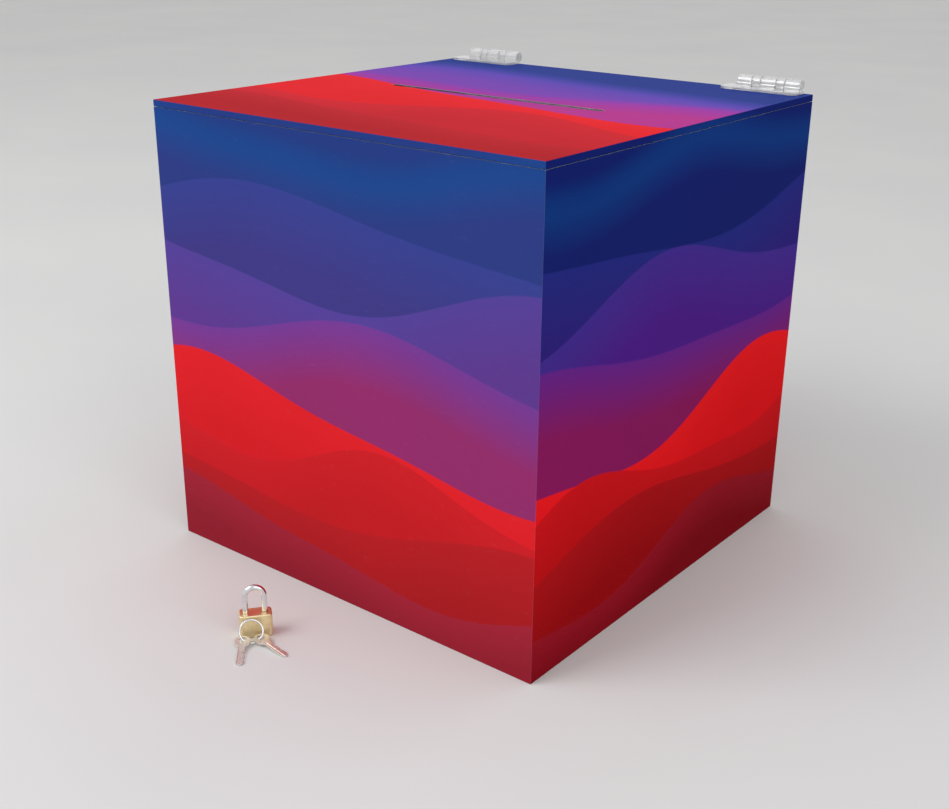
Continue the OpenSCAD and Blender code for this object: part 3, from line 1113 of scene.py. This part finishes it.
            # Swapping Y and Z mirrors the leaf, so its faces are turned out again
            mesh.transform(Matrix(((1, 0, 0, 0), (0, 0, 1, 0), (0, 1, 0, 0), (0, 0, 0, 1))))
            mesh.flip_normals()
        mesh.transform(self.axis)
        piece.dress(HINGE_ACRYLIC, leaf.value)

    def build_pin(self) -> None:
        """Builds the pin."""
        half = self.row / 2 - self.recess
        along = self.axis @ Matrix.Rotation(math.radians(90), 4, "Y")
        bm = eased_prism(circle((0, 0), self.pin), -half, half, self.pin_ease, along)
        Piece(f"hinge_pin_{self.side.word}", bm).dress(HINGE_ACRYLIC, "box")

    def build(self) -> None:
        """Builds both leaves and the pin."""
        for leaf in Leaf:
            self.build_leaf(leaf)
        self.build_pin()


@dataclass
class Padlock:
    """The padlock: a brass body, a steel shackle and the plug with its keyway."""

    centre: Flat = (-12 * MM, -212 * MM)  # Middle of its foot on the floor
    yaw: float = LOCK_YAW  # Turn about the vertical, in degrees
    size: Point = (20 * MM, 10.5 * MM, 15 * MM)  # Width, depth and height of the body
    corner: float = 2.6 * MM  # Radius of its upright edges
    ease: float = 0.9 * MM  # Radius of its upper and lower rims
    bar: float = 1.75 * MM  # Radius of the shackle's bar
    pitch: float = 11.5 * MM  # Distance between the shackle's legs
    rise: float = 18.5 * MM  # Height of the shackle above the body
    legs: Flat = (9.5 * MM, 5 * MM)  # Depth of the long and the short leg in the body
    leg_room: Flat = (0.08 * MM, 0.5 * MM)  # Room round a leg in its bore, and under its end
    mouth: Flat = (0.45 * MM, 0.25 * MM)  # Room round a leg in the mouth of its bore, and the mouth's depth
    notch: Point = (2.4 * MM, 1 * MM, 1.4 * MM)  # Height, depth and place above the leg's end of a notch
    plug: Point = (3.2 * MM, 11 * MM, 0.4 * MM)  # Radius, length and recess of the plug
    plug_room: float = 0.05 * MM  # Room round the plug
    plug_ease: float = 0.2 * MM  # Radius of the plug's rims
    keyway: Point = (1.6 * MM, 4.6 * MM, 9 * MM)  # Width, height and depth of the keyway
    keyway_corner: float = 0.3 * MM  # Radius of the keyway's corners

    @property
    def turn(self) -> Matrix:
        """Matrix from the padlock's directions to the box's."""
        return Matrix.Rotation(math.radians(self.yaw), 4, "Z")

    @property
    def place(self) -> Matrix:
        """Matrix from the padlock's own frame to the box's."""
        return Matrix.Translation((*self.centre, 0)) @ self.turn

    def bore(self, x: float, radius: float, low: float, high: float) -> BMesh:
        """Makes an upright round cutter in the padlock's frame."""
        return eased_prism(circle((x, 0), radius), low, high, 0, self.place)

    def build_body(self) -> None:
        """Builds the body with its bores."""
        wide, deep, high = self.size
        plan = rounded_rect((-wide / 2, -deep / 2), (wide / 2, deep / 2), (self.corner,) * 4, 10)
        piece = Piece("padlock_body", eased_prism(plan, 0, high, self.ease, self.place, steps=6))
        round_leg, under_leg = self.leg_room
        round_mouth, mouth = self.mouth
        bores = []
        for side, depth in zip(Side, self.legs):
            x = side.value * self.pitch / 2
            bores.append(self.bore(x, self.bar + round_leg, high - depth - under_leg, high + OVER))
            bores.append(self.bore(x, self.bar + round_mouth, high - mouth, high + OVER))
        radius, length, recess = self.plug
        bores.append(self.bore(0, radius + self.plug_room, -OVER, length + recess + self.plug_room))
        piece.combine(Boolean.CUT, *bores)
        piece.dress(LOCK_BRASS, "padlock")

    def shackle_path(self) -> BMesh:
        """Lays the path of the shackle's bar.

        Returns:
            Its points and edges, from the long leg's end to the short leg's end.
        """
        high, half = self.size[2], self.pitch / 2
        over = arc((0, high + self.rise - self.bar - half), half, 180, 0, 36)
        path = [(-half, high - self.legs[0]), *over, (half, high - self.legs[1])]
        bm = bmesh.new()
        points = [bm.verts.new(self.place @ Vector((x, 0, z))) for x, z in path]
        for first, second in zip(points, points[1:]):
            bm.edges.new((first, second))
        return bm

    def build_shackle(self) -> None:
        """Builds the shackle as a bar along its path, with the locking notches."""
        piece = Piece("padlock_shackle", self.shackle_path())
        tree = ShapeTree("shackle_bar")
        section = tree.node(
            "GeometryNodeCurvePrimitiveCircle",
            tree.input("Sides", "Int", 32),
            tree.input("Bar radius", "Float", self.bar),
        )
        curve = tree.node("GeometryNodeMeshToCurve", tree.start)
        bar = tree.node("GeometryNodeCurveToMesh", curve, section, fill_caps=True)
        tree.apply(piece, bar, BAR_STEEL)
        tall, deep, start = self.notch
        low, reach = self.size[2] - self.legs[1] + start, self.bar + OVER
        cutters = []
        for side in Side:
            x = side.value * (self.pitch / 2 - self.bar)
            plan = rounded_rect((x - deep, -reach), (x + deep, reach))
            cutters.append(eased_prism(plan, low, low + tall, 0, self.place))
        piece.combine(Boolean.CUT, *cutters)
        piece.dress(BAR_STEEL, "shackle", 40)

    def build_plug(self) -> None:
        """Builds the plug with its keyway."""
        radius, length, recess = self.plug
        wide, tall, deep = self.keyway
        bm = eased_prism(circle((0, 0), radius), recess, recess + length, self.plug_ease, self.place)
        piece = Piece("lock_plug", bm)
        plan = rounded_rect((-wide / 2, -tall / 2), (wide / 2, tall / 2), (self.keyway_corner,) * 4, 3)
        piece.combine(Boolean.CUT, eased_prism(plan, recess - OVER, recess + deep, 0, self.place))
        piece.dress(PLUG_BRASS, "plug")

    def build(self) -> None:
        """Builds the whole padlock."""
        self.build_body()
        self.build_shackle()
        self.build_plug()


@dataclass
class FlatKey:
    """A flat key, drawn lengthwise from the middle of its hole."""

    thick: float = 1.2 * MM  # Thickness of the key
    ease: float = 0.12 * MM  # Radius of its rims
    bow: Flat = (4.9 * MM, 1.4 * MM)  # Radius of the bow, and its place from the hole
    hole: float = 2.3 * MM  # Radius of the hole
    length: float = 24 * MM  # Length from the hole to the tip
    blade: float = 4.2 * MM  # Width of the blade
    tip: float = 2 * MM  # Length of the pointed tip
    blunt: float = 0.3 * MM  # Half the width of the tip's end
    cuts: tuple[float, ...] = (1.1 * MM, 1.7 * MM, 0.8 * MM, 1.4 * MM)  # Depths of the cuts from the bow
    cut_start: float = 3 * MM  # Distance from the bow to the first cut
    cut_pitch: float = 2.6 * MM  # Spacing of the cuts
    cut_floor: float = 0.3 * MM  # Half the width of a cut's floor
    cut_slope: float = 0.7  # Run of a cut's sides for each part of its depth
    groove: Point = (0.5 * MM, 1 * MM, 0.35 * MM)  # Distance from the edge, width and depth of the groove
    groove_corner: float = 0.4 * MM  # Radius of the groove's corners

    def outline(self) -> list[Flat]:
        """Lays the outline of the key.

        Returns:
            The outline, anticlockwise.
        """
        bow, shift = self.bow
        half = self.blade / 2
        neck = math.degrees(math.asin(half / bow))
        points = arc((shift, 0), bow, neck, 360 - neck, 48)
        end, shoulder = self.length - self.blunt, self.length - self.tip
        points += [(shoulder, -half), (end, -self.blunt), (end, self.blunt), (shoulder, half)]
        for i, depth in reversed(list(enumerate(self.cuts))):
            x, floor = shift + bow + self.cut_start + i * self.cut_pitch, self.cut_floor
            mouth = floor + self.cut_slope * depth
            cut = ((mouth, half), (floor, half - depth), (-floor, half - depth), (-mouth, half))
            points += [(x + along, y) for along, y in cut]
        return points

    def build(self, side: Side, place: Matrix) -> None:
        """Builds the key.

        Args:
            side: Which of the two it is.
            place: Matrix from the key's own frame to the box's.
        """
        half = self.thick / 2
        hole = circle((0, 0), self.hole, 32)
        bm = eased_prism(self.outline(), -half, half, self.ease, place, [hole], 2)
        piece = Piece(f"key_{side.word}", bm)
        edge, wide, deep = self.groove
        start, low = sum(self.bow), edge - self.blade / 2
        groove = rounded_rect((start, low), (start + self.length, low + wide), (self.groove_corner,) * 4, 4)
        piece.combine(Boolean.CUT, eased_prism(groove, half - deep, half + OVER, 0, place))
        piece.dress(KEY_NICKEL, f"{side.word}_key", 30)


@dataclass
class KeyRing:
    """A split ring that leans on the padlock, with two flat keys threaded on it."""

    lock: Padlock  # The padlock that it leans on
    key: FlatKey  # The key that hangs on it twice
    radius: float = 7 * MM  # Mean radius of the ring
    wire: Flat = (0.55 * MM, 0.31 * MM)  # Half the width and half the thickness of the wire
    turns: float = 1.96  # Number of turns of the wire
    lean: float = 25.0  # Lean of the ring from the vertical, in degrees
    spread: float = 5.3 * MM  # Distance of each key's hole from the ring's middle, to its side
    turn: float = 12.0  # Turn of both keys from straight ahead, in degrees
    fan: float = 22.0  # Turn of each key away from the other's, in degrees

    @property
    def centre(self) -> Vector:
        """Middle of the ring."""
        low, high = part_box("key_ring")
        return (low + high) / 2

    def build_ring(self) -> None:
        """Builds the split ring as turns of flat wire."""
        piece = Piece("key_ring", bmesh.new())
        tree = ShapeTree("split_ring")
        radius = tree.input("Ring radius", "Float", self.radius)
        coil = tree.node(
            "GeometryNodeCurveSpiral",
            tree.input("Steps in a turn", "Int", 72),
            tree.input("Turns", "Float", self.turns),
            radius,
            radius,
            tree.input("Wire thickness", "Float", 2 * self.wire[1]),
        )
        upright = tree.node("GeometryNodeSetCurveNormal", coil, settings={"mode": "Z_UP"})
        section = tree.node("GeometryNodeCurvePrimitiveCircle", 16, 1.0)
        flat = tree.input("Wire section", "Vector", (*self.wire, 1.0))
        oval = tree.node("GeometryNodeTransform", section, scale=flat)
        wound = tree.node("GeometryNodeCurveToMesh", upright, oval, fill_caps=True)
        drop = tree.input("Half a wire down", "Vector", (0.0, 0.0, -self.wire[1]))
        level = tree.node("GeometryNodeTransform", wound, drop)
        lean = (math.radians(90 - self.lean), 0.0, math.radians(self.lock.yaw))
        placed = tree.node(
            "GeometryNodeTransform",
            level,
            tree.input("Place", "Vector", tuple(self.centre)),
            tree.input("Lean", "Rotation", lean),
        )
        tree.apply(piece, placed, WIRE_STEEL)
        piece.dress(WIRE_STEEL, "keyring", 50)

    def key_place(self, side: Side) -> Matrix:
        """Places a key where the ring passes through its hole, with its tip on the floor.

        Args:
            side: Which key.

        Returns:
            The matrix from the key's own frame to the box's.
        """
        lean, drop = math.radians(self.lean), math.sqrt(self.radius**2 - self.spread**2)
        off = Vector((side.value * self.spread, -drop * math.sin(lean), -drop * math.cos(lean)))
        hole = Matrix.Translation(self.centre) @ self.lock.turn @ Matrix.Translation(off)
        heading = math.radians(self.turn + side.value * self.fan - 90)
        slope = math.asin((hole.translation.z - self.key.thick / 2) / self.key.length)
        return hole @ Matrix.Rotation(heading, 4, "Z") @ Matrix.Rotation(slope, 4, "Y")

    def build(self) -> None:
        """Builds the ring and both keys."""
        self.build_ring()
        for side in Side:
            self.key.build(side, self.key_place(side))


@dataclass
class Studio:
    """The pale floor, the soft lamps and the camera."""

    eye: Point = (0.5133, -0.6618, 0.4214)  # Place of the camera
    azimuth: float = 38.44  # Direction of the camera round the box, in degrees
    elevation: float = 21.68  # Its height above the horizon, in degrees
    roll: float = 0.56  # Its roll, in degrees
    lens: float = 48.85  # Its focal length in millimetres
    sensor: float = 36.0  # Width of its sensor in millimetres
    floor: float = 24.0  # Side of the floor
    sink: float = 0.1 * MM  # How far the floor lies under the box
    ambient: float = 0.7  # Strength of the light from all round
    backdrop: Colour = (0.74, 0.74, 0.74, 1)  # Colour that the camera, metal and glass see all round
    # Name, place and power in watts of each square lamp
    lamps: tuple[tuple[str, Point, float], ...] = (
        ("key_lamp", (-0.9, -1.6, 1.9), 26),
        ("fill_lamp", (1.9, -0.7, 1.0), 9),
    )
    lamp_side: float = 1.4  # Side of a lamp
    aim: Point = (0, 0, 0.15)  # What the lamps point at

    def build_camera(self) -> None:
        """Sets up the camera."""
        camera = bpy.data.cameras.new("camera")
        camera.lens, camera.sensor_width, camera.sensor_fit = self.lens, self.sensor, "HORIZONTAL"
        camera.clip_start, camera.clip_end = 0.01, 100
        obj = bpy.data.objects.new("camera", camera)
        place = Matrix.Translation(self.eye)
        for angle, axis in ((self.azimuth, "Z"), (90 - self.elevation, "X"), (self.roll, "Z")):
            place = place @ Matrix.Rotation(math.radians(angle), 4, axis)
        obj.matrix_world = place
        bpy.context.collection.objects.link(obj)
        bpy.context.scene.camera = obj

    def build_floor(self) -> None:
        """Lays the floor."""
        bm = bmesh.new()
        bmesh.ops.create_grid(bm, x_segments=8, y_segments=8, size=self.floor / 2)
        bmesh.ops.translate(bm, vec=(0, 0, -self.sink), verts=bm.verts)
        piece = Piece("studio_floor", bm)
        piece.paint([FLOOR])

    def build_world(self) -> None:
        """Sets up the light from all round, and the backdrop that is seen."""
        world = bpy.data.worlds.new("studio")
        world.use_nodes = True
        bpy.context.scene.world = world
        graph = Graph(world.node_tree)
        rays = graph.node("ShaderNodeLightPath").outputs
        bent = graph.math(Operation.LARGER, rays["Is Glossy Ray"], rays["Is Transmission Ray"])
        shown = graph.math(Operation.LARGER, rays["Is Camera Ray"], bent)
        lit = graph.node("ShaderNodeBackground", (1, 1, 1, 1), self.ambient)
        seen = graph.node("ShaderNodeBackground", self.backdrop)
        graph.node("ShaderNodeOutputWorld", graph.node("ShaderNodeMixShader", shown, lit, seen))

    def build_lamps(self) -> None:
        """Sets up the lamps."""
        for name, place, power in self.lamps:
            lamp = bpy.data.lights.new(name, "AREA")
            lamp.shape, lamp.size, lamp.energy = "SQUARE", self.lamp_side, power
            obj = bpy.data.objects.new(name, lamp)
            obj.location = place
            obj.rotation_euler = (Vector(self.aim) - Vector(place)).to_track_quat("-Z", "Y").to_euler()
            bpy.context.collection.objects.link(obj)

    def build(self) -> None:
        """Sets up the whole studio."""
        bpy.context.scene.view_settings.view_transform = "Standard"
        self.build_camera()
        self.build_floor()
        self.build_world()
        self.build_lamps()


def main() -> None:
    """Builds the box, its padlock and its keys, and the studio round them."""
    logging.basicConfig(level=logging.INFO, format="%(name)s: %(message)s")
    Studio().build()
    case = PrintedCase(Hasp())
    case.build()
    SlottedLid(case).build()
    for side in Side:
        KnuckleHinge(side).build()
    lock = Padlock()
    lock.build()
    KeyRing(lock, FlatKey()).build()


if __name__ == "__main__":
    main()
